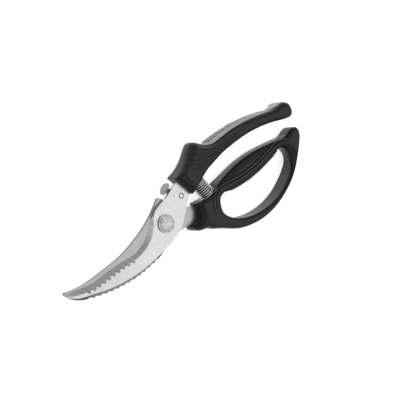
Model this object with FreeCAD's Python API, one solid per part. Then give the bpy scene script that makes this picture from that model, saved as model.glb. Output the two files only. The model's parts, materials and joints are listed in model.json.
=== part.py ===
import FreeCAD, Part
import math
import os

# Poultry shears: two riveted-together halves, each a stainless blade with a moulded handle.
# Everything is drawn in plan around the pivot axis (x towards the handles, y towards the
# thumb handle, z = 0 on the face where the blades slide), then moved into the part's frame:
# origin at the middle of the bounding box's underside, +X towards the handles, +Z up.

# Driving dimensions, in millimetres.
TIP_X = -98.4
HANDLE_END_X = 145.2
HORN_TOP_Y = 40.2
LOOP_LOW_Y = -43.2
HANDLE_HALF = 9.0
CORE_HALF = 5.0
BLADE = 2.5
BLADE_GAP = 0.1
UPPER_ROUND = 3.4
LOOP_ROUND = 2.3
PIVOT_R = 4.0
RUNNING_FIT = 0.05
HEAD_R = 7.2
HEAD_HIGH = 1.8
SPRING_R = 5.9
WIRE_R = 0.6
SPRING_TURNS = 7.5
LATCH_PIVOT = (22.5, 10.5)
EYELET_R = 1.9

TO_FRAME = FreeCAD.Vector(
    -(TIP_X + HANDLE_END_X) / 2, -(HORN_TOP_Y + LOOP_LOW_Y) / 2, HANDLE_HALF
)
UP = FreeCAD.Vector(0, 0, 1)

os.makedirs("parts", exist_ok=True)


def at(point, z=0.0):
    return FreeCAD.Vector(point[0], point[1], z)


def curve(points, z=0.0):
    """A smooth edge through plan points."""
    spline = Part.BSplineCurve()
    spline.interpolate([at(p, z) for p in points])
    return spline.toShape()


def straight(points, z=0.0):
    """Straight edges from point to point."""
    pairs = zip(points[:-1], points[1:])
    return [Part.LineSegment(at(a, z), at(b, z)).toShape() for a, b in pairs]


def plate(edges, low, high):
    """A closed plan outline, pulled from one height to another."""
    face = Part.Face(Part.Wire(Part.__sortEdges__(edges)))
    face.translate(FreeCAD.Vector(0, 0, low))
    return face.extrude(FreeCAD.Vector(0, 0, high - low))


def polygon(points, low, high):
    return plate(straight(points + points[:1]), low, high)


def disc(centre, radius, low, high):
    return Part.makeCylinder(radius, high - low, at(centre, low), UP)


def ring(centre, outer, inner, low, high):
    return disc(centre, outer, low, high).cut(disc(centre, inner, low, high))


def rounded(solid, radius):
    """Rounds the edges that lie in a solid's top and bottom planes."""
    box = solid.BoundBox
    flat = [
        e
        for e in solid.Edges
        if e.BoundBox.ZLength < 0.01
        and min(abs(e.BoundBox.ZMin - box.ZMin), abs(e.BoundBox.ZMax - box.ZMax)) < 0.01
    ]
    return solid.makeFillet(radius, flat)


def point_on(edge, x):
    """The point where a plan curve that runs along x passes a given x, and its unit tangent."""
    low, high = edge.FirstParameter, edge.LastParameter
    rising = edge.valueAt(high).x > edge.valueAt(low).x
    for _ in range(40):
        middle = (low + high) / 2
        if (edge.valueAt(middle).x < x) == rising:
            low = middle
        else:
            high = middle
    return edge.valueAt(low), edge.tangentAt(low)


def strip(points, depth, half):
    """A band of a given depth along a plan curve, from -half to half in height."""
    moved = [(x, y + depth) for x, y in points]
    sides = straight([points[0], moved[0]]) + straight([points[-1], moved[-1]])
    return plate([curve(points), curve(moved)] + sides, -half, half)


def rib_slots(edge, ends, pitch, width, depth, half):
    """Slots across a curved face, between which ribs stand."""
    slots = []
    first, last = ends
    for i in range(int((last - first) / pitch)):
        point, tangent = point_on(edge, first + i * pitch)
        slot = Part.makeBox(width, 2 * depth, 2 * half)
        slot.translate(FreeCAD.Vector(-width / 2, -depth, -half))
        slot.rotate(at((0, 0)), UP, math.degrees(math.atan2(tangent.y, tangent.x)))
        slot.translate(FreeCAD.Vector(point.x, point.y, 0))
        slots.append(slot)
    return slots


# ---------------------------------------------------------------- front blade
# The lower blade in use. It carries the thumb handle. Its cutting edge is the upper one, and
# the ground bevel on its outer face is fluted. Behind the flutes is the bone notch.

FRONT_EDGE = [
    (-97.8, 1.2), (-88, -0.5), (-76, -3.3), (-60, -3.5), (-45, -4.3),
    (-35, -5.3), (-25, -3.0), (-17.6, 0.8), (-12.4, 5.7), (-6, 10.6),
]
FRONT_BEVEL = [
    (-97.2, -0.2), (-88, -4.2), (-76, -6.9), (-60, -7.2), (-45, -7.6),
    (-35, -8.3), (-25, -6.4), (-17.6, -3.0), (-12.4, 1.5), (-6, 10.6),
]
FRONT_SPINE = [
    (10.3, -10.3), (5, -12.3), (-5, -14.7), (-20, -17.2), (-35, -18.1),
    (-50, -17.1), (-65, -14.4), (-80, -9.4), (-90, -5.3),
]
FRONT_TANG_TOP = [(-6, 10.6), (0, 14.1), (10, 16.4), (17, 18.9), (25, 22)]
FRONT_TANG = [
    (25, 22), (34, 24.5), (48, 28.6), (92, 27.8), (118, 22.8), (128, 19.8), (127, 18.0),
    (117, 20.4), (92, 24.2), (70, 23.6), (50, 22.4), (38, 16.5), (32, 9.6), (28.2, 6.7),
    (25, 4.1), (20.8, -0.1), (10.3, -10.3),
]
FLUTE_COUNT = 10
FLUTE_FIRST_X = -38.5
FLUTE_PITCH = 4.7
FLUTE_R = 2.0
FLUTE_DEEP = 0.75
FLUTE_EDGE_CLEAR = 0.06
FLUTE_LONG = 16
FLUTE_LEAD = 6


def front_outline(edge, z):
    tang = straight(FRONT_TANG, z)
    spine = curve(FRONT_SPINE + edge[:1], z)
    return Part.Wire([curve(edge, z), curve(FRONT_TANG_TOP, z)] + tang + [spine])


def flute(x, edge, bevel):
    """A round-bottomed cut, deep where the bevel begins, that fades out at the cutting edge."""
    foot = point_on(edge, x)[0]
    head = point_on(bevel, x)[0]
    out = FreeCAD.Vector(1, 0, 0).cross(foot - head).normalize()
    if out.z < 0:
        out = out * -1
    start = head + out * (FLUTE_R - FLUTE_DEEP)
    down = (foot + out * (FLUTE_R + FLUTE_EDGE_CLEAR) - start).normalize()
    return Part.makeCylinder(FLUTE_R, FLUTE_LONG, start - down * FLUTE_LEAD, down)


def front_blade():
    low = front_outline(FRONT_EDGE, 0)
    high = front_outline(FRONT_BEVEL, BLADE)
    blade = Part.makeLoft([low, high], True, True)
    edge, bevel = curve(FRONT_EDGE, 0), curve(FRONT_BEVEL, BLADE)
    flutes = [
        flute(FLUTE_FIRST_X - i * FLUTE_PITCH, edge, bevel) for i in range(FLUTE_COUNT)
    ]
    holes = [disc((0, 0), PIVOT_R, -1, BLADE + 1), disc(LATCH_PIVOT, EYELET_R, -1, BLADE + 1)]
    return blade.cut(flutes + holes)


# ----------------------------------------------------------------- rear blade
# The upper blade in use. It carries the finger loop. Its cutting edge is the lower one, with
# saw teeth. The main bevel is on the back, and a narrow relief is ground on the front.

REAR_TOP = -BLADE_GAP
REAR_LOW = -BLADE_GAP - BLADE
TOOTH_RELIEF = 0.7
REAR_FACE = [
    (-98.4, 1.8), (-97, -0.8), (-93.6, -4.3), (-86.2, -8.4), (-77.9, -10.9), (-67.1, -14.1),
    (-57.4, -16.4), (-47.7, -17.8), (-38, -18.6), (-28.4, -18.3), (-18.2, -18.0), (-8, -16.6),
]
REAR_EDGE = [
    (-98.4, 1.8), (-97, -0.8), (-94, -4.8), (-87, -9.8), (-79, -13.4), (-68, -17.0),
    (-58, -19.4), (-48, -20.9), (-38, -21.7), (-28, -21.1), (-17.5, -19.6), (-8, -16.6),
]
REAR_BEVEL = [
    (-97.9, 2.6), (-95.5, 0.8), (-92, -2.2), (-85.5, -6.6), (-78, -9.9), (-67, -13.5),
    (-57.3, -15.9), (-47.6, -17.4), (-38, -18.2), (-28.4, -17.9), (-18.5, -17.8), (-8, -16.6),
]
REAR_NECK = [(-8, -16.6), (0, -15.0), (5, -13.5), (9, -12.7), (17, -13.5)]
REAR_TANG = [
    (17, -13.5), (27, -14.6), (33.5, -18.5), (38, -19), (40, -14), (49, -6.2),
    (62, -3.6), (82, -5.0), (98, -4.0), (113, -2.2), (112, -1.2), (98, 0.8), (82, 1.6),
    (62, -0.6), (48, -4.4), (34, -6.6), (29.5, -2.4), (22, -0.3),
]
REAR_HEEL = [(22, -0.3), (14, 8.5), (8.5, 16), (6.2, 18.9), (4.8, 19.3)]
REAR_SPINE = [
    (4.8, 19.3), (-8.7, 11.0), (-18.7, 6.6), (-28.7, 3.6), (-38.7, 1.1), (-50, -0.2),
    (-68.7, -0.6), (-80, -0.3), (-90, 1.3), (-96.5, 3.2),
]
TOOTH_COUNT = 13
TOOTH_FIRST_X = -81.4
TOOTH_PITCH = 5.1
GULLET_R = 3.2
GULLET_DEEP = 0.9


def rear_outline(edge, z):
    tip = straight([REAR_SPINE[-1], edge[0]], z)
    middle = straight(REAR_TANG, z) + straight(REAR_HEEL, z)
    return Part.Wire([curve(edge, z), curve(REAR_NECK, z)] + middle + [curve(REAR_SPINE, z)] + tip)


def gullet(x, edge):
    """The round gap between two saw teeth."""
    point, tangent = point_on(edge, x)
    out = tangent.cross(UP)
    if out.y > 0:
        out = out * -1
    centre = point + out * (GULLET_R - GULLET_DEEP)
    return disc((centre.x, centre.y), GULLET_R, REAR_LOW - 1, 1)


def rear_blade():
    edge_z = REAR_TOP - TOOTH_RELIEF
    back = Part.makeLoft(
        [rear_outline(REAR_BEVEL, REAR_LOW), rear_outline(REAR_EDGE, edge_z)], True, True
    )
    front = Part.makeLoft(
        [rear_outline(REAR_EDGE, edge_z), rear_outline(REAR_FACE, REAR_TOP)], True, True
    )
    blade = back.fuse(front).removeSplitter()
    edge = curve(REAR_EDGE, REAR_TOP)
    gullets = [gullet(TOOTH_FIRST_X + i * TOOTH_PITCH, edge) for i in range(TOOTH_COUNT)]
    hole = disc((0, 0), PIVOT_R + RUNNING_FIT, REAR_LOW - 1, 1)
    return blade.cut(gullets + [hole])


# ---------------------------------------------------------------------- pivot

HEAD_RIM = 0.9
HEAD_FLATTER = 1.6
WASHER_R = 6.6
WASHER_THICK = 0.45
NUT_THICK = 2.9
NUT_FLATS = 12.0
NUT_CHAMFER = 0.9
SHAFT_PROUD = 0.3


def pivot_screw():
    """A domed head on the front blade and a plain shaft through both blades."""
    sphere_r = (HEAD_R**2 + HEAD_HIGH**2) / (2 * HEAD_HIGH) * HEAD_FLATTER
    cap_low = BLADE + HEAD_HIGH - sphere_r
    dome = Part.makeSphere(sphere_r, FreeCAD.Vector(0, 0, cap_low))
    head = disc((0, 0), HEAD_R, BLADE, BLADE + HEAD_HIGH).common(dome)
    head = head.fuse(disc((0, 0), HEAD_R, BLADE, BLADE + HEAD_RIM))
    end = REAR_LOW - RUNNING_FIT - WASHER_THICK - NUT_THICK - SHAFT_PROUD
    return head.fuse(disc((0, 0), PIVOT_R, end, BLADE)).removeSplitter()


def pivot_washer():
    high = REAR_LOW - RUNNING_FIT
    return ring((0, 0), WASHER_R, PIVOT_R, high - WASHER_THICK, high)


def pivot_nut():
    high = REAR_LOW - RUNNING_FIT - WASHER_THICK
    corner = NUT_FLATS / math.sqrt(3)
    angles = [math.radians(60 * i) for i in range(6)]
    corners = [(corner * math.cos(a), corner * math.sin(a)) for a in angles]
    nut = polygon(corners, high - NUT_THICK, high)
    small, tall = corner - NUT_CHAMFER, NUT_THICK + NUT_CHAMFER
    chamfer = Part.makeCone(small, small + tall, tall, at((0, 0), high - NUT_THICK), UP)
    return nut.common(chamfer).cut(disc((0, 0), PIVOT_R, high - NUT_THICK - 1, high + 1))


# ---------------------------------------------------------------------- latch
# A flat steel lever behind the front tang, beside the rear blade's heel. Its thumb tab stands
# out above the tang. It turns on a hollow rivet.

LATCH_TOP = -0.55
LATCH_LOW = -2.15
LATCH_TAB = [
    (16.8, 20.9), (19.2, 22.0), (18.5, 24.1), (16.2, 24.8), (13.3, 24.1), (11.0, 22.3), (9.9, 20.1),
    (11.0, 18.4), (13.6, 18.9),
]
LATCH_HUB_R = 3.6
LATCH_HUB_ANGLES = (222, 305, 388)
LATCH_WASHER_R = 3.4
EYELET_WALL = 0.6
EYELET_RIM = 0.4
EYELET_FLANGE = 1.2
EYELET_PROUD = 0.2


def latch_lever():
    """One flat plate: the oval thumb tab on a narrower neck, a straight arm and the round hub."""
    hub = [
        (
            LATCH_PIVOT[0] + LATCH_HUB_R * math.cos(math.radians(a)),
            LATCH_PIVOT[1] + LATCH_HUB_R * math.sin(math.radians(a)),
        )
        for a in LATCH_HUB_ANGLES
    ]
    end = Part.Arc(at(hub[0]), at(hub[1]), at(hub[2])).toShape()
    sides = straight([LATCH_TAB[-1], hub[0]]) + straight([hub[2], LATCH_TAB[0]])
    lever = plate([curve(LATCH_TAB), end] + sides, LATCH_LOW, LATCH_TOP)
    return lever.cut(disc(LATCH_PIVOT, EYELET_R + RUNNING_FIT, LATCH_LOW - 1, LATCH_TOP + 1))


def latch_washer():
    return ring(LATCH_PIVOT, LATCH_WASHER_R, EYELET_R, LATCH_TOP, -RUNNING_FIT)


def latch_eyelet():
    """A hollow rivet: a tube with a rolled rim in front and a flange behind."""
    bore = EYELET_R - EYELET_WALL
    low, high = LATCH_LOW - 2 * EYELET_PROUD, BLADE + EYELET_PROUD
    tube = ring(LATCH_PIVOT, EYELET_R, bore, low, high)
    rim = ring(LATCH_PIVOT, EYELET_R + EYELET_RIM, bore, BLADE, high)
    flange = ring(LATCH_PIVOT, EYELET_R + EYELET_FLANGE, bore, low, LATCH_LOW)
    return tube.fuse([rim, flange]).removeSplitter()


# --------------------------------------------------------------- thumb handle

UPPER_MOUTH = [(30.0, 7.4), (22.9, 25.0)]
UPPER_BROW = [(22.9, 25.0), (26.4, 26.3), (30.2, 27.3), (36.8, 31.4), (42.2, 35.6)]
UPPER_HORN = [
    (42.2, 35.6), (46.9, 39.1), (50.4, HORN_TOP_Y), (53.8, 38.5), (58, 34.2), (63, 31.2), (68, 30.4),
]
UPPER_TOP = [(68, 30.4), (79, 30.9), (92, 30.7), (107, 28.8), (122, 25.4), (131, 23.8), (139, 24.7)]
UPPER_END = [(139, 24.7), (144, 21.3), (HANDLE_END_X, 16.6), (143.5, 11.6), (139.6, 10.0)]
UPPER_UNDER = [
    (139.6, 10.0), (129, 13.3), (117, 17.2), (102, 20.2), (86, 21.0), (70, 20.0), (57, 17.4),
    (46.6, 14.2), (38, 10.2), (30.0, 7.4),
]
UPPER_SEAT = [(46.4, 18.0), (46.4, 12.7), (35.0, 10.2), (35.0, 2.0), (60.0, 2.0)]
UPPER_JOINT = [(29.5, 27.5), (34.5, 6.5)]
UPPER_CORE = [
    (34.0, 13), (36, 24.5), (42, 29), (50, 31), (62, 28.8), (92, 28.6), (120, 23.2), (138, 19),
    (139, 15), (134, 15), (117, 19.6), (92, 23.2), (66, 22.2), (48, 17.6), (40, 14),
]
PAD_TOP = [(61.5, 33.0), (66, 33.3), (79, 33.4), (92, 32.7), (107, 30.4), (119, 27.4), (127.5, 24.6)]
PAD_LOW = [(61.5, 31.0), (68, 29.4), (79, 29.8), (92, 29.6), (107, 27.7), (119, 25.0), (127.5, 23.4)]
PAD_HALF = 6.2
PAD_RIB_HALF = 4.6
PAD_RIBS = (64, 126)
PAD_RIB_PITCH = 2.15
PAD_SLOT_WIDE = 0.9
PAD_SLOT_DEEP = 0.8
END_PAD_TOP = [(129.2, 24.2), (131.5, 25.3), (135, 25.6), (138, 25.1), (140.6, 23.4)]
END_PAD_HALF = 5.6
LINE_REACH = 4.0


def side_block(line, reach):
    """A block that fills the space from a line drawn in plan out to x = reach."""
    (ax, ay), (bx, by) = line
    top = (ax + (ax - bx) * LINE_REACH, ay + (ay - by) * LINE_REACH)
    low = (bx + (bx - ax) * LINE_REACH, by + (by - ay) * LINE_REACH)
    far = [(reach, low[1]), (reach, top[1])]
    return polygon([top, low] + far, -2 * HANDLE_HALF, 2 * HANDLE_HALF)


def left_of(line, solid):
    """The part of a solid on the blade side of a line drawn in plan."""
    return solid.common(side_block(line, TIP_X))


def right_of(line, solid):
    return solid.common(side_block(line, HANDLE_END_X + 1))


def upper_body():
    edges = [curve(p) for p in (UPPER_BROW, UPPER_HORN, UPPER_TOP, UPPER_END, UPPER_UNDER)]
    edges += straight(UPPER_MOUTH)
    body = rounded(plate(edges, -HANDLE_HALF, HANDLE_HALF), UPPER_ROUND)
    return body.cut(polygon(UPPER_SEAT, -HANDLE_HALF - 1, HANDLE_HALF + 1))


def rib_pad():
    sides = straight([PAD_TOP[0], PAD_LOW[0]]) + straight([PAD_TOP[-1], PAD_LOW[-1]])
    return plate([curve(PAD_TOP), curve(PAD_LOW)] + sides, -PAD_HALF, PAD_HALF)


def end_pad():
    chord = straight([END_PAD_TOP[-1], (139.6, 22.4), (134.5, 21.6), END_PAD_TOP[0]])
    return plate([curve(END_PAD_TOP)] + chord, -END_PAD_HALF, END_PAD_HALF)


# ---------------------------------------------------------------- finger loop

LOOP_MOUTH = [(29.6, -1.6), (29.3, -6.5), (26.8, -11.8), (22.6, -14.4)]
LOOP_LEDGE = (17.2, -14.3)
LOOP_EAR = [(17.2, -15.2), (18.5, -18.5), (22.2, -20.2)]
LOOP_BELLY = [
    (22.2, -20.2), (27, -22.2), (33, -25.8), (41, -31.5), (52, -37.6), (67, -42.2), (77.5, LOOP_LOW_Y),
    (90, -41.9), (107, -36.2), (122, -27.6), (132, -18.2), (139, -9.8),
]
LOOP_HEEL = [(139, -9.8), (141.8, -5.2), (142.4, -1.8), (140.6, 1.3), (137, 1.8)]
LOOP_TOP = [
    (137, 1.8), (127, 0.6), (112, 2.9), (97, 5.2), (82, 5.9), (66, 4.7), (52.2, 2.0),
]
LOOP_SEAT = [(52.2, 2.0), (51, -0.6), (37.6, -3.6), (36.8, -1.6), (29.6, -1.6)]
LOOP_JOINT = [(33.4, 1.0), (27.6, -22.5)]
EYE_TOP = [
    (47.2, -12.5), (50, -8.0), (56, -6.9), (67, -9.0), (80, -9.8), (95, -8.8), (107, -6.9),
    (116, -5.6),
]
EYE_END = [(116, -5.6), (121.4, -7.2), (122.8, -13.0), (120, -20.6)]
EYE_LOW = [
    (120, -20.6), (113, -26.8), (102, -33.0), (91, -36.2), (80, -37.3), (69, -35.9), (60, -32.6),
    (51, -26.7), (46.6, -20.0), (47.2, -12.5),
]
LOOP_CORE = [
    (31, -5.4), (36, -5.2), (51, -3.2), (64, 1.2), (82, 2.8), (98, 2.0), (114, -0.8),
    (136, -1.4), (138, -4), (131, -13), (126.6, -12), (124.6, -4), (115, -2.8), (99, -5.2),
    (82, -6.2), (62, -4.6), (53, -4.4), (48, -6.4), (43.4, -13), (42.5, -24), (36, -25), (29, -15.5),
]
TOP_STRIP = [(137.5, 1.9), (127, 0.7), (112, 3.0), (97, 5.3), (82, 6.0), (66, 4.8), (54, 2.6)]
TOP_STRIP_HALF = 3.0
STRIP_DEEP = 1.6
EYE_STRIP = [(57.5, -7.3), (67, -9.2), (80, -10.0), (95, -9.0), (107, -7.1), (114, -6.0)]
EYE_STRIP_HALF = 6.5
EYE_RIBS = (59, 113)
EYE_RIB_PITCH = 1.7
EYE_SLOT_WIDE = 0.6
EYE_SLOT_DEEP = 0.45


def loop_body():
    outer = [curve(p) for p in (LOOP_MOUTH, LOOP_BELLY, LOOP_HEEL, LOOP_TOP)]
    outer.append(Part.Arc(*[at(p) for p in LOOP_EAR]).toShape())
    outer += straight([LOOP_MOUTH[-1], LOOP_LEDGE, LOOP_EAR[0]]) + straight(LOOP_SEAT)
    eye = plate([curve(p) for p in (EYE_TOP, EYE_END, EYE_LOW)], -HANDLE_HALF - 1, HANDLE_HALF + 1)
    body = plate(outer, -HANDLE_HALF, HANDLE_HALF)
    return rounded(body.cut(eye), LOOP_ROUND)


# --------------------------------------------------------------------- spring

SPRING_UPPER = (40.8, 11.4)
SPRING_LOWER = (44.3, -2.0)
POST_R = 4.6
UPPER_POST_LONG = 9.2
LOOP_POST_LONG = 3.2
SHANK_R = 2.6
UPPER_SHANK_LONG = 4.0
LOOP_SHANK_LONG = 1.9
COIL_END_GAP = 0.15


def spring_axis():
    start, end = at(SPRING_UPPER), at(SPRING_LOWER)
    return start, (end - start).normalize(), (end - start).Length


def handle_spring():
    """A round-wire coil between the two seats."""
    start, down, length = spring_axis()
    pitch = (length - 2 * WIRE_R - 2 * COIL_END_GAP) / SPRING_TURNS
    helix = Part.makeHelix(pitch, pitch * SPRING_TURNS, SPRING_R)
    first = FreeCAD.Vector(SPRING_R, 0, 0)
    lead = FreeCAD.Vector(0, SPRING_R, pitch / (2 * math.pi))
    section = Part.Wire(Part.Circle(first, lead, WIRE_R).toShape())
    coil = Part.Wire(helix.Edges).makePipeShell([section], True, True)
    coil.translate(FreeCAD.Vector(0, 0, WIRE_R + COIL_END_GAP))
    coil.Placement = FreeCAD.Placement(start, FreeCAD.Rotation(UP, down)).multiply(coil.Placement)
    return coil


def post(base, direction, length, shank_long):
    """A peg that stands in the spring's end, with a shank in the handle's core."""
    peg = Part.makeCylinder(POST_R, length, base, direction)
    shank = Part.makeCylinder(SHANK_R, shank_long, base - direction * shank_long, direction)
    return peg.fuse(shank).removeSplitter()


# ------------------------------------------------------------------- assembly


def build():
    front = front_blade()
    rear = rear_blade()
    start, down, length = spring_axis()
    upper_post = post(start, down, UPPER_POST_LONG, UPPER_SHANK_LONG)
    loop_post = post(start + down * length, down * -1, LOOP_POST_LONG, LOOP_SHANK_LONG)

    pad = rib_pad()
    oval = end_pad()
    upper = upper_body().cut([pad, oval])
    upper_core = polygon(UPPER_CORE, -CORE_HALF, CORE_HALF)
    upper_grip = right_of(UPPER_JOINT, upper).cut([upper_core, front, upper_post])
    upper_core = upper_core.cut([front, upper_post])
    upper_bolster = left_of(UPPER_JOINT, upper).cut([front])

    top_strip = strip(TOP_STRIP, -STRIP_DEEP, TOP_STRIP_HALF)
    eye_strip = strip(EYE_STRIP, STRIP_DEEP, EYE_STRIP_HALF)
    loop = loop_body().cut([top_strip, eye_strip])
    loop_core = polygon(LOOP_CORE, -CORE_HALF, CORE_HALF)
    loop_core = right_of(LOOP_JOINT, loop_core)
    loop_grip = right_of(LOOP_JOINT, loop).cut([loop_core, rear, loop_post])
    loop_core = loop_core.cut([rear, loop_post])
    loop_bolster = left_of(LOOP_JOINT, loop).cut([rear])

    pad_slots = rib_slots(
        curve(PAD_TOP), PAD_RIBS, PAD_RIB_PITCH, PAD_SLOT_WIDE, PAD_SLOT_DEEP, PAD_RIB_HALF
    )
    eye_slots = rib_slots(
        curve(EYE_STRIP), EYE_RIBS, EYE_RIB_PITCH, EYE_SLOT_WIDE, EYE_SLOT_DEEP, EYE_STRIP_HALF + 1
    )

    return {
        "front_blade": front,
        "rear_blade": rear,
        "pivot_screw": pivot_screw(),
        "pivot_washer": pivot_washer(),
        "pivot_nut": pivot_nut(),
        "latch_lever": latch_lever(),
        "latch_washer": latch_washer(),
        "latch_eyelet": latch_eyelet(),
        "upper_bolster": upper_bolster,
        "upper_core": upper_core,
        "upper_grip": upper_grip,
        "upper_rib_pad": pad.cut(pad_slots),
        "upper_end_pad": oval,
        "upper_spring_post": upper_post,
        "handle_spring": handle_spring(),
        "loop_spring_post": loop_post,
        "loop_bolster": loop_bolster,
        "loop_core": loop_core,
        "loop_grip": loop_grip,
        "loop_top_strip": top_strip,
        "loop_rib_strip": eye_strip.cut(eye_slots),
    }


for name, shape in build().items():
    placed = shape.copy()
    placed.translate(TO_FRAME)
    placed.exportStep("parts/" + name + ".step")
    box = placed.BoundBox
    sizes = (box.XMin, box.XMax, box.YMin, box.YMax, box.ZMin, box.ZMax)
    print(name, placed.isValid(), len(placed.Solids), ["%.2f" % s for s in sizes])
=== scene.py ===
import json
import math

import bpy
import numpy as np
from mathutils import Matrix, Vector
from mathutils.kdtree import KDTree

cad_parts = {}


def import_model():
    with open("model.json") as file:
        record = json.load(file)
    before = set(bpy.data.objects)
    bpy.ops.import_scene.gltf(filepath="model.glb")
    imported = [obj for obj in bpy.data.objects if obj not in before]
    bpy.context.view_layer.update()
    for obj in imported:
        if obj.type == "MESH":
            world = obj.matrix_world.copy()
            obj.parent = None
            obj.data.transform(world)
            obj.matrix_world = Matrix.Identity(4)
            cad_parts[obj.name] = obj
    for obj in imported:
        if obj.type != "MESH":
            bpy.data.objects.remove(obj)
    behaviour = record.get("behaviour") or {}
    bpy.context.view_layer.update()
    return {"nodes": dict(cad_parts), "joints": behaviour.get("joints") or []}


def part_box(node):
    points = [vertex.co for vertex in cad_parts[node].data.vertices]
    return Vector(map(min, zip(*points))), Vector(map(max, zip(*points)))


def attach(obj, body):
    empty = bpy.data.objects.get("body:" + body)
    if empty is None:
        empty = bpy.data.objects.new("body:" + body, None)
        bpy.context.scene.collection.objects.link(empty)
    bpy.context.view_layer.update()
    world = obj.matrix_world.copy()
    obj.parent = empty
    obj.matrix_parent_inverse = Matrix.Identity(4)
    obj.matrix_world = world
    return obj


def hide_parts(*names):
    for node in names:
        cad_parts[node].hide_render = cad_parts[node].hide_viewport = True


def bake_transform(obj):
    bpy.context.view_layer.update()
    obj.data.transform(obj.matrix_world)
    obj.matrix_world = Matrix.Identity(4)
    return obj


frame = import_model()

# Plan coordinates below are millimetres about the blade pivot: x towards the handles, y towards
# the thumb handle, z = 0 where the blades slide. world() puts them into the frame, in metres.

MM = 0.001
PIVOT = Vector(next(j["pos_m"] for j in frame["joints"] if j["name"] == "blade_pivot"))
MIDDLE_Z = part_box("loop_grip")[1].z / 2
HALF = MIDDLE_Z / MM


def world(points):
    """Plan points in millimetres, as an (n, 3) array, to metres in the frame."""
    return np.asarray(points, float) * MM + np.array([PIVOT.x, PIVOT.y, MIDDLE_Z])


# ------------------------------------------------------------------------------ curves


def length_along(line):
    """The length of a line from its start to each of its points."""
    return np.concatenate([[0], np.cumsum(np.linalg.norm(np.diff(line, axis=0), axis=1))])


KEY_PLAN_COLUMNS = 4
WRAP_KEYS = 4
SPAN_STEPS = 40


def spline(keys, spacing, closed=False):
    """Evenly spaced points on a smooth curve through keys. A key holds one or two plan points,
    which set the spacing, and may hold radii after them."""
    keys = np.array(keys, float)
    wrap = WRAP_KEYS if closed else 0
    if closed:
        keys = np.vstack([keys[-wrap:], keys, keys[: wrap + 1]])
    gaps = np.linalg.norm(np.diff(keys[:, :KEY_PLAN_COLUMNS], axis=0), axis=1)
    steps = np.sqrt(gaps)
    count = len(keys)
    matrix = np.eye(count)
    right = np.zeros_like(keys)
    for i in range(1, count - 1):
        before = steps[i - 1]
        after = steps[i]
        matrix[i, i - 1 : i + 2] = before, 2 * (before + after), after
        right[i] = 6 * ((keys[i + 1] - keys[i]) / after - (keys[i] - keys[i - 1]) / before)
    bend = np.linalg.solve(matrix, right)
    fine = []
    for i in range(wrap, count - 1 - wrap):
        a = np.linspace(1, 0, SPAN_STEPS, endpoint=False)[:, None]
        b = 1 - a
        width = steps[i] ** 2 / 6
        curved = ((a**3 - a) * bend[i] + (b**3 - b) * bend[i + 1]) * width
        fine.append(a * keys[i] + b * keys[i + 1] + curved)
    fine.append(keys[count - 1 - wrap][None])
    fine = np.vstack(fine)
    run = length_along(fine[:, :KEY_PLAN_COLUMNS])
    number = max(2, int(round(run[-1] / spacing)))
    places = np.linspace(0, run[-1], number + 1)
    result = np.stack([np.interp(places, run, column) for column in fine.T], axis=1)
    return result[:-1] if closed else result


EVEN_SHARE = 0.45


def clustered(count):
    """Steps from 0 to 1 that are closer together near both ends."""
    even = np.linspace(0, 1, count)
    return EVEN_SHARE * even + (1 - EVEN_SHARE) * (1 - np.cos(np.pi * even)) / 2


def resample(line, shares):
    """Points at given shares of a line's length."""
    run = length_along(line)
    return np.stack([np.interp(shares * run[-1], run, column) for column in line.T], axis=1)


def smooth_step(value, low, high):
    """Zero up to low, one from high on, and a smooth rise between."""
    share = np.clip((value - low) / (high - low), 0, 1)
    return share * share * (3 - 2 * share)


SHORTEST_SQUARE = 1e-12


def nearest_on(plan, line):
    """Each plan point's distance to a line of plan points, and the place along it in stations."""
    tree = KDTree(len(line))
    for i, point in enumerate(line):
        tree.insert((point[0], point[1], 0), i)
    tree.balance()
    flat = plan.reshape(-1, 2)
    close = np.array([tree.find((x, y, 0))[1] for x, y in flat])
    gap = np.full(len(flat), np.inf)
    place = np.zeros(len(flat))
    for side in (-1, 0):
        first = np.clip(close + side, 0, len(line) - 2)
        start = line[first, :2]
        along = line[first + 1, :2] - start
        square = np.maximum((along**2).sum(1), SHORTEST_SQUARE)
        share = np.clip(((flat - start) * along).sum(1) / square, 0, 1)
        here = np.linalg.norm(flat - start - share[:, None] * along, axis=1)
        better = here < gap
        gap[better] = here[better]
        place[better] = (first + share)[better]
    return gap.reshape(plan.shape[:2]), place.reshape(plan.shape[:2])


def distance(plan, line):
    return nearest_on(plan, line)[0]


# ------------------------------------------------------------------------------ meshes


def new_object(name, vertices, faces, material):
    """A smooth-shaded mesh object with its faces turned outwards."""
    mesh = bpy.data.meshes.new(name)
    mesh.from_pydata(vertices.tolist(), [], faces)
    mesh.materials.append(material)
    mesh.shade_smooth()
    piece = bpy.data.objects.new(name, mesh)
    bpy.context.scene.collection.objects.link(piece)
    corners = vertices[[f[:3] for f in faces]]
    volume = np.einsum("ij,ij->i", corners[:, 0], np.cross(corners[:, 1], corners[:, 2])).sum()
    if volume < 0:
        mesh.flip_normals()
    mesh.update()
    return piece


def grid_faces(rows, columns, close_rows=False, close_columns=False):
    """Quads over a grid of vertices numbered row by row."""
    quads = []
    for i in range(rows if close_rows else rows - 1):
        here = i * columns
        after = (i + 1) % rows * columns
        for j in range(columns if close_columns else columns - 1):
            beside = (j + 1) % columns
            quads.append((here + j, here + beside, after + beside, after + j))
    return quads


def mark(piece, values):
    """Stores, at each vertex, how much lighter (above 0) or darker (below 0) the surface is painted: wear
    and painted highlight above 0, painted shade in hollows below 0.
    """
    layer = piece.data.attributes.new("relief", "FLOAT", "POINT")
    layer.data.foreach_set("value", np.asarray(values, np.float32))


WALL_ROWS = 6
SHOULDER_WEAR = 0.1
# How far below the crest the wear on a rounded shoulder begins, is strongest and ends.
WEAR_BEGINS = 0.3
WEAR_PEAKS = 1.2
WEAR_ENDS = 3.0


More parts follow.
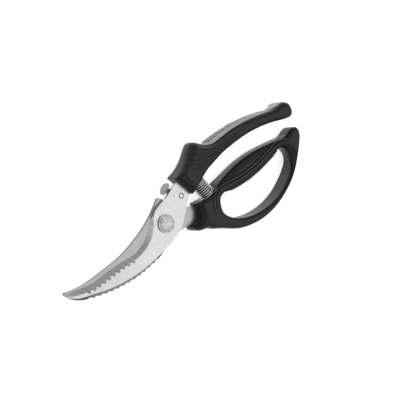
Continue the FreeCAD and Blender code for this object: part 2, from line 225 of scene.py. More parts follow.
def slab(name, plan, height, material, closed=False, relief=0.0):
    """A moulded body: a plan grid raised to a height in front and the same behind."""
    rows, columns = height.shape
    front = np.dstack([plan, height]).reshape(-1, 3)
    back = front * (1, 1, -1)
    size = rows * columns
    faces = grid_faces(rows, columns, close_rows=closed)
    faces += [tuple(reversed([c + size for c in f])) for f in faces]
    index = np.arange(size).reshape(rows, columns)
    if closed:
        loops = [np.append(index[:, 0], index[0, 0])[::-1], np.append(index[:, -1], index[0, -1])]
    else:
        sides = [index[0, :-1], index[:-1, -1], index[-1, :0:-1], index[:0:-1, 0]]
        loops = [np.append(np.concatenate(sides), index[0, 0])]
    vertices = [front, back]
    total = 2 * size
    for loop in loops:
        ring = loop[:-1]
        levels = [ring]
        for k in range(1, WALL_ROWS):
            share = k / WALL_ROWS
            vertices.append(front[ring] * (1 - share) + back[ring] * share)
            levels.append(np.arange(total, total + len(ring)))
            total += len(ring)
        levels.append(ring + size)
        for upper, lower in zip(levels[:-1], levels[1:]):
            for a, b in zip(range(len(ring)), [*range(1, len(ring)), 0]):
                faces.append((int(upper[a]), int(lower[a]), int(lower[b]), int(upper[b])))
    piece = new_object(name, world(np.vstack(vertices)), faces, material)
    drop = height.max() - height
    shoulder = smooth_step(drop, WEAR_BEGINS, WEAR_PEAKS) * (1 - smooth_step(drop, WEAR_PEAKS, WEAR_ENDS))
    # Shoulder wear, plus the caller's relief of painted highlight and painted shade.
    wear_and_painted_light = SHOULDER_WEAR * shoulder + relief
    shade = np.zeros(total)
    shade[:size] = wear_and_painted_light.ravel()
    shade[size : 2 * size] = wear_and_painted_light.ravel()
    mark(piece, shade)
    return piece


def fillet(plan, rims):
    """Height of a body whose outline is rounded over. A rim is a line with a radius column."""
    near = np.zeros(plan.shape[:2])
    radius = np.ones(plan.shape[:2])
    for rim in rims:
        gap, place = nearest_on(plan, rim)
        local = np.interp(place, np.arange(len(rim)), rim[:, 2])
        closeness = 1 - gap / local
        better = closeness > near
        near[better] = closeness[better]
        radius[better] = local[better]
    near = np.clip(near, 0, 1)
    return HALF - radius * (1 - np.sqrt(1 - near**2))


def band(name, path, sections, material):
    """A strip along a plan path. Each station's outline is a list of (out, z, relief) points."""
    tangent = np.gradient(path, axis=0)
    tangent /= np.linalg.norm(tangent, axis=1)[:, None]
    normal = np.stack([-tangent[:, 1], tangent[:, 0]], axis=1)
    rings = []
    shade = []
    for i in range(len(path)):
        outline = np.array(sections(i))
        spots = path[i] + normal[i] * outline[:, :1]
        rings.append(np.column_stack([spots, outline[:, 1]]))
        shade.extend(outline[:, 2])
    columns = len(rings[0])
    vertices = np.vstack(rings)
    faces = grid_faces(len(path), columns, close_columns=True)
    for station, turn in ((0, 1), (len(path) - 1, -1)):
        middle = vertices[station * columns : (station + 1) * columns].mean(0)
        vertices = np.vstack([vertices, middle])
        shade.append(0.0)
        centre = len(vertices) - 1
        for j in range(columns):
            pair = [station * columns + j, station * columns + (j + 1) % columns]
            faces.append((centre, *pair[::turn]))
    piece = new_object(name, world(vertices), faces, material)
    mark(piece, shade)
    return piece


def rounded_section(half, low, high, radius, steps=7, across=24):
    """A strip's outline: a flat foot, two rounded shoulders and a top."""
    points = [(low, -half)]
    for k in range(steps + 1):
        a = math.pi / 2 * k / steps
        points.append((high - radius + radius * math.sin(a), -half + radius * (1 - math.cos(a))))
    for k in range(1, across):
        points.append((high, -half + radius + (2 * half - 2 * radius) * k / across))
    for k in range(steps + 1):
        a = math.pi / 2 * (1 - k / steps)
        points.append((high - radius + radius * math.sin(a), half - radius * (1 - math.cos(a))))
    points.append((low, half))
    return points


# --------------------------------------------------------------------------- materials


NOISE_ROUGHNESS = 0.55
# Sockets of a Mix node that is set to colours.
MIX_SHARE = 0
MIX_FIRST = 6
MIX_SECOND = 7
MIX_RESULT = 2


class Surface:
    """A principled material with helpers that add procedural detail."""

    def __init__(self, name, colour, roughness, metallic=0.0, specular=0.5):
        self.material = bpy.data.materials.new(name)
        self.material.use_nodes = True
        self.nodes = self.material.node_tree.nodes
        self.links = self.material.node_tree.links
        self.shader = self.nodes["Principled BSDF"]
        self.shader.inputs["Base Color"].default_value = (*colour, 1)
        self.shader.inputs["Roughness"].default_value = roughness
        self.shader.inputs["Metallic"].default_value = metallic
        self.shader.inputs["Specular IOR Level"].default_value = specular
        self.place = self.nodes.new("ShaderNodeTexCoord").outputs["Object"]
        self.normal = None

    def stretched(self, scale, turn=0.0):
        """Object coordinates in metres, scaled along each axis."""
        node = self.nodes.new("ShaderNodeMapping")
        node.inputs["Scale"].default_value = scale
        node.inputs["Rotation"].default_value = (0, 0, turn)
        self.links.new(self.place, node.inputs["Vector"])
        return node.outputs["Vector"]

    def noise(self, scale, detail=3.0, vector=None):
        node = self.nodes.new("ShaderNodeTexNoise")
        node.inputs["Scale"].default_value = scale
        node.inputs["Detail"].default_value = detail
        node.inputs["Roughness"].default_value = NOISE_ROUGHNESS
        self.links.new(vector or self.place, node.inputs["Vector"])
        return node.outputs["Fac"]

    def ranged(self, value, low, high, out_low, out_high):
        """Maps a value from one range to another, held at both ends."""
        node = self.nodes.new("ShaderNodeMapRange")
        node.inputs["From Min"].default_value = low
        node.inputs["From Max"].default_value = high
        node.inputs["To Min"].default_value = out_low
        node.inputs["To Max"].default_value = out_high
        self.links.new(value, node.inputs["Value"])
        return node.outputs["Result"]

    def share(self, value, low, high):
        """Zero at low and one at high."""
        return self.ranged(value, low, high, 0.0, 1.0)

    def maths(self, operation, first, second):
        node = self.nodes.new("ShaderNodeMath")
        node.operation = operation
        for socket, value in zip(node.inputs, (first, second)):
            if isinstance(value, (int, float)):
                socket.default_value = value
            else:
                self.links.new(value, socket)
        return node.outputs[0]

    def vector_maths(self, operation, first, second=None, result="Vector"):
        node = self.nodes.new("ShaderNodeVectorMath")
        node.operation = operation
        self.links.new(first, node.inputs[0])
        if second is not None:
            node.inputs[1].default_value = second
        return node.outputs[result]

    def mixed(self, share, first, second):
        """A colour between two, each a tuple or a socket."""
        node = self.nodes.new("ShaderNodeMix")
        node.data_type = "RGBA"
        self.links.new(share, node.inputs[MIX_SHARE])
        for socket, value in ((node.inputs[MIX_FIRST], first), (node.inputs[MIX_SECOND], second)):
            if isinstance(value, tuple):
                socket.default_value = (*value, 1)
            else:
                self.links.new(value, socket)
        return node.outputs[MIX_RESULT]

    def bump(self, height, depth, strength):
        node = self.nodes.new("ShaderNodeBump")
        node.inputs["Distance"].default_value = depth
        node.inputs["Strength"].default_value = strength
        self.links.new(height, node.inputs["Height"])
        if self.normal:
            self.links.new(self.normal, node.inputs["Normal"])
        self.normal = node.outputs["Normal"]
        self.links.new(self.normal, self.shader.inputs["Normal"])

    def relief(self):
        """The relief that mark() stored on the mesh."""
        node = self.nodes.new("ShaderNodeAttribute")
        node.attribute_name = "relief"
        return node.outputs["Fac"]

    def facing_up(self, low, high):
        """Zero on slopes and walls, and one on faces that lie flat."""
        split = self.nodes.new("ShaderNodeSeparateXYZ")
        geometry = self.nodes.new("ShaderNodeNewGeometry")
        self.links.new(geometry.outputs["Normal"], split.inputs[0])
        steep = self.maths("ABSOLUTE", split.outputs["Z"], 0.0)
        return self.share(steep, low, high)

    def paint(self, colour):
        self.links.new(colour, self.shader.inputs["Base Color"])

    def rough(self, value):
        self.links.new(value, self.shader.inputs["Roughness"])


# Depths of the finest detail, in metres, and how strongly each shows.
GRAIN_DEPTH = 0.00004
GRAIN_STRENGTH = 0.5
BRUSHED_DEPTH = 0.000012
BRUSHED_STRENGTH = 0.35
GROUND_DEPTH = 0.00001
GROUND_STRENGTH = 0.25
RING_DEPTH = 0.00003
RING_STRENGTH = 0.5
DRAWN_DEPTH = 0.00001
DRAWN_STRENGTH = 0.3

TURNED_ANISOTROPY = 0.75


def scaled(tone, factor):
    """A lighter or darker colour."""
    return tuple(c * factor for c in tone)


def moulded_plastic(name, tone, marks_and_painted_light_tone, roughness, specular):
    """Satin moulded plastic: fine spark-eroded grain, uneven gloss, rubbed edges, painted light and shade.
    """
    s = Surface(name, tone, roughness, specular=specular)
    cloud = s.noise(38, 4)
    fine = s.noise(2600, 2)
    flow = s.noise(9, 2, s.stretched((1, 4, 1)))
    base = s.mixed(s.share(cloud, 0.35, 0.65), tone, scaled(tone, 1.5))
    relief = s.relief()
    # Above 0 the colour is lightened, as wear and painted highlight; below 0 darkened, as painted shade.
    wear_and_painted_light = s.mixed(s.share(relief, 0.05, 0.4), base, marks_and_painted_light_tone)
    s.paint(s.mixed(s.share(relief, -0.05, -0.4), wear_and_painted_light, scaled(tone, 0.25)))
    patches = s.ranged(cloud, 0.3, 0.7, -0.05, 0.05)
    marks = s.maths("ADD", patches, s.ranged(flow, 0.3, 0.7, -0.03, 0.03))
    s.rough(s.maths("ADD", marks, roughness))
    s.bump(fine, GRAIN_DEPTH, GRAIN_STRENGTH)
    return s.material


def rubber_pad(name, tone, hollow_shade, roughness):
    """Soft grey rubber: matt, slightly mottled, with painted shade in its hollows."""
    s = Surface(name, tone, roughness, specular=0.35)
    cloud = s.noise(60, 4)
    fine = s.noise(3200, 2)
    base = s.mixed(s.share(cloud, 0.3, 0.7), tone, scaled(tone, 0.86))
    s.paint(s.mixed(s.share(s.relief(), -0.05, -0.5), base, hollow_shade))
    s.rough(s.ranged(cloud, 0.3, 0.7, roughness - 0.06, roughness + 0.06))
    s.bump(fine, GRAIN_DEPTH, GRAIN_STRENGTH)
    return s.material


def blade_steel(name, tone, ground, roughness, turn):
    """Satin stainless steel: grain along the blade, and cross-ground bevels."""
    s = Surface(name, tone, roughness, metallic=1.0)
    along = s.noise(900, 4, s.stretched((0.05, 1.6, 1.0), turn))
    across = s.noise(900, 4, s.stretched((2.2, 0.12, 1.0), turn))
    mottle = s.noise(420, 3)
    cloud = s.noise(30, 3)
    flat = s.facing_up(0.93, 0.995)
    face = s.mixed(s.share(mottle, 0.3, 0.7), tone, scaled(tone, 0.93))
    bevel = s.mixed(s.share(across, 0.35, 0.65), ground, scaled(ground, 0.7))
    s.paint(s.mixed(flat, bevel, face))
    streaks = s.ranged(along, 0.35, 0.65, roughness - 0.05, roughness + 0.05)
    s.rough(s.maths("ADD", streaks, s.ranged(cloud, 0.3, 0.7, -0.03, 0.03)))
    s.bump(along, BRUSHED_DEPTH, BRUSHED_STRENGTH)
    s.bump(across, GROUND_DEPTH, GROUND_STRENGTH)
    return s.material


def turned_steel(name, tone, centre, ring_scale, roughness):
    """Spin-brushed steel: fine rings about its own centre, painted highlight in wedges, painted shade on
    walls.
    """
    s = Surface(name, tone, roughness, metallic=1.0)
    flat = s.vector_maths("MULTIPLY", s.vector_maths("SUBTRACT", s.place, centre), (1, 1, 0))
    radius = s.nodes.new("ShaderNodeCombineXYZ")
    s.links.new(s.vector_maths("LENGTH", flat, result="Value"), radius.inputs[0])
    tangent = s.vector_maths("CROSS_PRODUCT", flat, (0, 0, 1))
    s.links.new(tangent, s.shader.inputs["Tangent"])
    s.shader.inputs["Anisotropic"].default_value = TURNED_ANISOTROPY
    rings = s.noise(ring_scale, 3, radius.outputs[0])
    wedge_highlight = s.noise(1.9, 2, s.vector_maths("NORMALIZE", flat))
    # Painted highlight: the top is lightened in wedges round the centre.
    top = s.mixed(s.share(wedge_highlight, 0.38, 0.62), tone, scaled(tone, 1.4))
    # Painted shade: walls and steep slopes are painted nearly black.
    s.paint(s.mixed(s.facing_up(0.4, 0.95), scaled(tone, 0.04), top))
    s.rough(s.ranged(rings, 0.3, 0.7, roughness - 0.08, roughness + 0.08))
    s.bump(rings, RING_DEPTH, RING_STRENGTH)
    return s.material


def add_wisps(s, roughness):
    """Fine marks left by drawing or rolling, in the gloss and in the surface."""
    wisps = s.noise(700, 3)
    s.rough(s.ranged(wisps, 0.3, 0.7, roughness - 0.04, roughness + 0.05))
    s.bump(wisps, DRAWN_DEPTH, DRAWN_STRENGTH)
    return wisps


def rolled_rivet(name, rim, bore_highlight, roughness):
    """Steel tube with a rolled rim painted dark as shade, and a bore painted bright as highlight."""
    s = Surface(name, rim, roughness, metallic=1.0)
    wisps = add_wisps(s, roughness)
    marks_and_painted_light_tone = s.mixed(s.share(wisps, 0.3, 0.7), rim, scaled(rim, 0.8))
    # Painted light: walls (the bore) are painted bright, and flat faces (the rim) dark.
    s.paint(s.mixed(s.facing_up(0.2, 0.6), bore_highlight, marks_and_painted_light_tone))
    return s.material


def drawn_wire(name, tone, roughness):
    """Bright spring wire."""
    s = Surface(name, tone, roughness, metallic=1.0)
    wisps = add_wisps(s, roughness)
    s.paint(s.mixed(s.share(wisps, 0.3, 0.7), tone, scaled(tone, 0.85)))
    return s.material


BLACK = moulded_plastic("black_grip", (0.0065, 0.0065, 0.007), (0.06, 0.06, 0.062), 0.3, 0.34)
# The shell is a darker, less glossy copy of the grip plastic: painted shade for the collars' mouth walls.
COLLAR = moulded_plastic("black_shell", (0.0045, 0.0045, 0.005), (0.024, 0.024, 0.026), 0.36, 0.3)
CORE = moulded_plastic("core_plastic", (0.02, 0.02, 0.021), (0.05, 0.05, 0.05), 0.5, 0.4)
GREY = rubber_pad("grey_pad", (0.55, 0.55, 0.555), (0.006, 0.006, 0.007), 0.5)
STRIP = rubber_pad("grey_strip", (0.17, 0.17, 0.173), (0.03, 0.03, 0.032), 0.45)
BLADE_A = blade_steel("blade_steel", (0.665, 0.668, 0.672), (0.56, 0.56, 0.565), 0.34, 0.35)
BLADE_B = blade_steel("rear_blade_steel", (0.42, 0.422, 0.425), (0.15, 0.15, 0.152), 0.3, 0.45)
HEAD = turned_steel("pivot_steel", (0.46, 0.46, 0.465), (PIVOT.x, PIVOT.y, 0), 5200, 0.3)
RIVET = rolled_rivet("rivet_steel", (0.2, 0.2, 0.205), (0.92, 0.92, 0.925), 0.25)
LATCH = blade_steel("latch_steel", (0.34, 0.34, 0.345), (0.3, 0.3, 0.3), 0.4, 1.2)
WIRE = drawn_wire("spring_wire", (0.8, 0.8, 0.81), 0.14)


# ------------------------------------------------------------------------ thumb handle
# Each key is a plan point on the handle's underside, the point across from it on its top, the
# radius of the rounding below, and the radius above.

UPPER_KEYS = [
    (30.0, 7.4, 22.9, 25.0, 3.6, 3.4),
    (31.8, 8.0, 25.3, 26.1, 3.6, 3.4),
    (33.2, 8.5, 27.6, 26.6, 3.6, 3.6),
    (34.9, 9.1, 30.2, 27.4, 3.6, 4.2),
    (38.4, 10.4, 33.6, 29.3, 3.8, 5.6),
    (42.4, 12.4, 38.0, 32.2, 3.8, 7.0),
    (46.6, 14.2, 42.6, 35.9, 4.0, 7.8),
    (49.6, 15.3, 46.9, 39.1, 4.0, 7.6),
    (51.8, 16.0, 50.4, 40.2, 4.0, 7.0),
    (54.2, 16.6, 53.8, 38.5, 4.0, 6.2),
    (58.0, 17.3, 58.2, 34.1, 4.0, 5.0),
    (63.0, 18.3, 63.0, 31.3, 4.0, 4.0),
    (70.0, 19.5, 69.0, 30.4, 4.0, 3.6),
    (79.0, 20.2, 79.0, 30.9, 4.0, 3.4),
    (86.0, 20.4, 86.0, 31.0, 4.0, 3.4),
    (93.0, 20.3, 93.0, 30.6, 4.0, 3.4),
    (102.0, 19.6, 103.0, 29.4, 4.2, 3.6),
    (110.0, 18.4, 111.0, 28.0, 4.3, 3.8),
    (117.0, 16.9, 118.5, 26.3, 4.4, 4.0),
    (124.0, 15.0, 125.5, 24.6, 4.6, 4.2),
    (129.0, 13.3, 131.0, 23.9, 4.8, 4.4),
    (134.0, 11.6, 136.0, 24.3, 5.0, 4.6),
    (138.0, 10.4, 139.8, 24.2, 5.0, 4.8),
]
UPPER_MOUTH = [(30.0, 7.4), (28.2, 12.5), (25.8, 18.4), (22.9, 25.0)]
UPPER_END = [
    (138.0, 10.4), (141.0, 10.1), (143.8, 12.2), (145.1, 16.6), (143.9, 21.3), (139.8, 24.2),
]
UPPER_JOINT_X = 34.6
UPPER_STATION = 0.42
UPPER_ROWS = 84
UPPER_END_RADIUS = 5.0
# How far from its ends the handle's grid bends to follow their curves, and how softly.
END_REACH = 7.0
END_SOFTNESS = 1.5
END_SPACING = 0.3
MOUTH_RADIUS = 4.2
GROOVE_RADIUS = 0.3

# Raised lines on both faces, from under the horn along the handle.
GRIP_LINES = [
    [(33.5, 26.6), (38, 26.0), (43, 24.4), (49, 22.4), (56, 21.4), (64, 21.9), (74, 22.9), (88, 23.2)],
    [(36.0, 29.6), (40, 28.9), (44.5, 27.0), (50, 24.8), (57, 23.4), (66, 23.7), (77, 24.6), (93, 24.6)],
    [(39.5, 32.6), (43.5, 31.6), (47.5, 29.4), (52, 27.0), (59, 25.3), (68, 25.4), (80, 26.2), (98, 25.9)],
    [(44.0, 35.4), (47.5, 34.3), (51, 31.8), (55, 29.2), (61, 27.2), (70, 27.0), (83, 27.6), (103, 26.7)],
    [(49.0, 37.6), (52.0, 35.6), (55, 33.0), (58.8, 30.6), (64, 28.8), (73, 28.4), (86, 28.8), (106, 27.5)],
]
LINE_WIDE = 0.45
LINE_HIGH = 0.6
LINE_FADE_IN = 8.0
LINE_FADE_OUT = 24.0
LINE_SPACING = 1.0
# The face is sunk round each crest: fully up to the first distance from it, and not at all
# from the second. The last value is how much darker the sunk face is painted, as shade.
SINK_NEAR = 1.0
SINK_FAR = 5.0
SINK_SHADE = 0.5
# The lines fade where the rounded edge has dropped from the first depth to the second.
DROP_STARTS = 1.0
DROP_ENDS = 5.0


def grip_relief(plan):
    """The raised lines at each plan point, and how far the face is sunk for their crests."""
    lines = np.zeros(plan.shape[:2])
    sunk = np.zeros(plan.shape[:2])
    x = plan[..., 0]
    for keys in GRIP_LINES:
        gap = distance(plan, spline(keys, LINE_SPACING))
        first, last = keys[0][0], keys[-1][0]
        fade = smooth_step(x, first, first + LINE_FADE_IN)
        fade = fade * (1 - smooth_step(x, last - LINE_FADE_OUT, last))
        lines = np.maximum(lines, fade * np.exp(-((gap / LINE_WIDE) ** 2)))
        sunk = np.maximum(sunk, fade * (1 - smooth_step(gap, SINK_NEAR, SINK_FAR)))
    return lines, sunk


def ladder(keys, spacing, rows, start, stop):
    """A plan grid between two curves, whose first and last stations follow curves of their own."""
    path = spline(keys, spacing)
    share = clustered(rows)[:, None]
    plan = path[:, None, 0:2] * (1 - share) + path[:, None, 2:4] * share
    middle = plan[:, rows // 2]
    run = length_along(middle)
    for shape, gap, station in ((start, run, 0), (stop, run[-1] - run, -1)):
        curve = resample(spline(shape, END_SPACING), clustered(rows))
        offset = curve - plan[station]
        fade = np.clip(1 - gap / END_REACH, 0, 1) ** END_SOFTNESS
        plan = plan + fade[:, None, None] * offset
    return plan, path


def upper_handle():
    """The thumb handle: its collar and its grip, split along a fine parting line."""
    plan, path = ladder(UPPER_KEYS, UPPER_STATION, UPPER_ROWS, UPPER_MOUTH, UPPER_END)
    low = np.column_stack([plan[:, 0], path[:, 4]])
    high = np.column_stack([plan[:, -1], path[:, 5]])
    mouth = np.column_stack([plan[0], np.full(UPPER_ROWS, MOUTH_RADIUS)])
    end = np.column_stack([plan[-1], np.full(UPPER_ROWS, UPPER_END_RADIUS)])
    split = int(np.argmin(np.abs(path[:, 0] - UPPER_JOINT_X)))
    joint = np.column_stack([plan[split], np.full(UPPER_ROWS, GROOVE_RADIUS)])
    pieces = []
    for name, stations, material in (
        ("thumb_collar", slice(0, split + 1), COLLAR),
        ("thumb_grip", slice(split, None), BLACK),
    ):
        part = plan[stations]
        height = fillet(part, [low, high, mouth, end])
        lines, sunk = grip_relief(part)
        flat = 1 - smooth_step(HALF - height, DROP_STARTS, DROP_ENDS)
        height += LINE_HIGH * flat * (lines - sunk)
        height -= HALF - fillet(part, [joint])
        # Crests are painted lighter, as wear and highlight, and the sunk face darker, as painted shade.
        relief = flat * (lines - SINK_SHADE * sunk)
        pieces.append(slab(name, part, height, material, relief=relief))
    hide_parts("upper_bolster")
    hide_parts("upper_grip")
    for piece in pieces:
        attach(piece, "thumb_half")


# ------------------------------------------------------------------------- grey inserts

PAD_TOP = [(61.5, 33.0), (66, 33.3), (79, 33.4), (92, 32.7), (107, 30.4), (119, 27.4), (127.3, 24.7)]
PAD_HALF = 6.2
PAD_FOOT = 3.4
PAD_SHOULDER = 1.7
PAD_PITCH = 2.2
PAD_GAP = 0.55
PAD_RIB_DEEP = 1.1
PAD_STATION = 0.2
# The pad's front end, the nose, dips and narrows. Its back end, the tail, only dips.
PAD_NOSE = 3.0
PAD_NOSE_DIP = 0.9
PAD_NOSE_NARROWS = 0.8
PAD_TAIL = 5.0
PAD_TAIL_DIP = 0.6
# Along the pad, ribs start just behind its front end, get deeper, and get shallower towards the
# tail. Across it, they end between these two distances from its middle.
PAD_RIBS_END = (4.8, 5.6)
RIBS_START = (0.8, 2.0)
RIBS_DEEPEN = (1.5, 4.0)
RIBS_TAIL = 22.0
SHALLOW_RIB = 0.45
RIB_FLANK = 0.3


def ribs(run, pitch, gap):
    """One on a rib's crest and zero between ribs, which are further apart for a larger gap."""
    wave = 0.5 + 0.5 * math.cos(2 * math.pi * run / pitch)
    return min(1.0, max(0.0, (wave - gap) / RIB_FLANK))


def rib_pad():
    """The thumb pad: smooth shoulders, and ribs across the middle of its top."""
    path = spline(PAD_TOP, PAD_STATION)
    run = length_along(path)

    def section(i):
        left = run[-1] - run[i]
        nose = smooth_step(PAD_NOSE - run[i], 0, PAD_NOSE)
        tail = smooth_step(PAD_TAIL - left, 0, PAD_TAIL)
        top = -PAD_NOSE_DIP * nose - PAD_TAIL_DIP * tail
        fade = smooth_step(run[i], *RIBS_DEEPEN) * smooth_step(left, 0, RIBS_TAIL)
        deep = PAD_RIB_DEEP * (SHALLOW_RIB + (1 - SHALLOW_RIB) * fade)
        hollow = deep * (1 - ribs(run[i], PAD_PITCH, PAD_GAP)) * smooth_step(run[i], *RIBS_START)
        half = PAD_HALF - PAD_NOSE_NARROWS * nose
        outline = rounded_section(half, -PAD_FOOT, top, PAD_SHOULDER)
        shaped = []
        for v, z in outline:
            inside = 1 - smooth_step(abs(z), *PAD_RIBS_END)
            cut = hollow * inside if v > -PAD_SHOULDER else 0.0
            # The hollows between ribs are painted darker, as shade.
            shaped.append((v - cut, z, -cut / PAD_RIB_DEEP))
        return shaped

    piece = band("thumb_rib_pad", path, section, GREY)
    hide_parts("upper_rib_pad")
    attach(piece, "thumb_half")


END_PAD_TOP = [(128.6, 24.6), (131.5, 25.2), (135, 25.5), (138, 25.0), (141.2, 23.2)]
END_PAD_STATION = 0.25
END_PAD_HALF = 6.0
END_PAD_LEAST_HALF = 0.25
END_PAD_FOOT = 2.6
END_PAD_DIP = 0.7
END_PAD_ROUND = 0.8
# The dish is deepest inside the first share of the oval, and ends at the second.
# DISH_SHADE sets how much darker the dish is painted, as shade.
END_PAD_DISH = 0.55
DISH_INSIDE = 0.45
DISH_RIM = 0.85
DISH_SHADE = 0.35


def end_pad():
    """The oval pad at the handle's end, slightly dished inside a soft rim."""
    path = spline(END_PAD_TOP, END_PAD_STATION)
    count = len(path)

    def section(i):
        place = 2 * i / (count - 1) - 1
        wide = math.sqrt(max(0.0, 1 - place**2))
        half = max(END_PAD_LEAST_HALF, END_PAD_HALF * wide)
        dip = END_PAD_DIP * (1 - wide) ** 2
        outline = rounded_section(half, -END_PAD_FOOT, -dip, min(END_PAD_ROUND, half * 0.6))
        shaped = []
        for v, z in outline:
            share = math.sqrt(place**2 + (z / END_PAD_HALF) ** 2)
            dish = END_PAD_DISH * (1 - smooth_step(share, DISH_INSIDE, DISH_RIM))
            on_top = v > -END_PAD_FOOT / 2
            shaped.append((v - dish if on_top else v, z, -DISH_SHADE * dish))
        return shaped

    piece = band("thumb_end_pad", path, section, GREY)
    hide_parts("upper_end_pad")
    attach(piece, "thumb_half")


# -------------------------------------------------------------------------- finger loop
# Each key is a plan point on the opening's edge, the point across from it on the outside, and
# the radii of the rounding at the two.

LOOP_KEYS = [
    (45.7, -17.5, 29.9, -14.5, 3.0, 4.0),
    (47.0, -12.5, 31.6, -7.0, 3.2, 4.0),
    (49.2, -9.0, 33.2, -1.9, 3.6, 3.6),
    (51.2, -7.9, 38.5, -2.6, 3.8, 3.0),
    (52.8, -7.4, 44.5, -2.2, 4.0, 2.6),
    (54.5, -7.2, 50.0, -1.0, 4.0, 2.6),
    (56.4, -7.3, 52.6, 1.2, 4.0, 3.4),
    (62.0, -8.1, 60.0, 3.0, 4.0, 5.0),
    (72.0, -9.4, 71.0, 4.7, 4.0, 5.6),
    (82.0, -9.8, 82.0, 5.7, 4.0, 5.8),
    (95.0, -8.8, 96.0, 5.3, 4.0, 5.6),
    (107.0, -6.9, 110.0, 3.1, 4.2, 4.6),
    (114.0, -5.8, 120.0, 1.1, 4.6, 4.0),
    (118.0, -5.7, 128.5, -0.1, 5.4, 4.0),
    (120.8, -6.9, 136.8, 2.0, 6.2, 4.0),
    (122.8, -9.6, 141.0, 0.2, 6.8, 4.2),
    (123.8, -13.2, 141.3, -5.0, 7.2, 4.4),
    (122.8, -18.2, 136.0, -13.2, 7.0, 4.6),
    (119.3, -24.0, 127.1, -22.4, 4.2, 3.8),
    (110.8, -30.0, 116.2, -31.0, 2.8, 2.7),
    (98.4, -35.3, 102.4, -37.9, 2.4, 2.4),
    (86.0, -37.4, 88.0, -42.1, 2.3, 2.3),
    (74.0, -36.9, 74.0, -43.1, 2.4, 2.6),
    (63.0, -34.2, 60.0, -40.9, 2.6, 3.0),
    (54.0, -29.7, 48.0, -35.9, 2.8, 3.4),
    (48.8, -25.0, 36.5, -28.2, 3.0, 3.8),
    (46.4, -21.2, 28.6, -22.2, 3.0, 4.0),
]
LOOP_STATION = 0.7
LOOP_ROWS = 76
COLLAR_STEPS = 40
COLLAR_SPACING = 0.2
LOOP_MOUTH_SPACING = 0.25
COLLAR_LOW_RADIUS = 4.0
COLLAR_HIGH_RADIUS = 3.6
LOOP_MOUTH = [
    (19.4, -19.2), (17.6, -17.4), (17.4, -15.4), (19.0, -14.4), (21.4, -14.2), (23.9, -13.5),
    (26.6, -11.8), (28.7, -8.4), (29.5, -5.0), (29.7, -1.7),
]
COLLAR_LOW = [(28.6, -22.2), (25.0, -21.2), (22.0, -20.4), (19.4, -19.2)]
COLLAR_HIGH = [(33.2, -1.9), (32.0, -1.5), (30.8, -1.2), (29.7, -1.7)]
LOOP_GROOVES = ((5.4, 0.9), (8.0, 0.9), (2.9, 0.4))
# Bands between the grooves are painted lighter, as wear and highlight; the grooves darker, as shade.
LOOP_BANDS = (4.1, 6.7)
GROOVE_WIDE = 0.45
BAND_WIDE = 0.7
BAND_WEAR_AND_HIGHLIGHT = 0.3
GROOVE_DROP_ENDS = 3.5
# Shares of the lap round the opening over which the grooves appear and fade. A place further
# round than the last share counts back from the start.
GROOVES_APPEAR = (-0.01, 0.045)
GROOVES_FADE = (0.40, 0.47)
LAP_COUNTS_BACK = 0.75


def loop_relief(plan, opening, share):
    """Grooves that follow the opening round its front and along the upper bar, and the relief that
    paints the grooves darker as shade and the bands beside them lighter as wear and highlight."""
    gap = distance(plan, opening)
    strong = smooth_step(share, *GROOVES_APPEAR) * (1 - smooth_step(share, *GROOVES_FADE))
    grooves = np.zeros(plan.shape[:2])
    wear_and_painted_light = np.zeros(plan.shape[:2])
    for place, deep in LOOP_GROOVES:
        grooves -= deep * np.exp(-(((gap - place) / GROOVE_WIDE) ** 2))
    for place in LOOP_BANDS:
        wear_and_painted_light += BAND_WEAR_AND_HIGHLIGHT * np.exp(-(((gap - place) / BAND_WIDE) ** 2))
    return grooves * strong[:, None], (grooves + wear_and_painted_light) * strong[:, None]


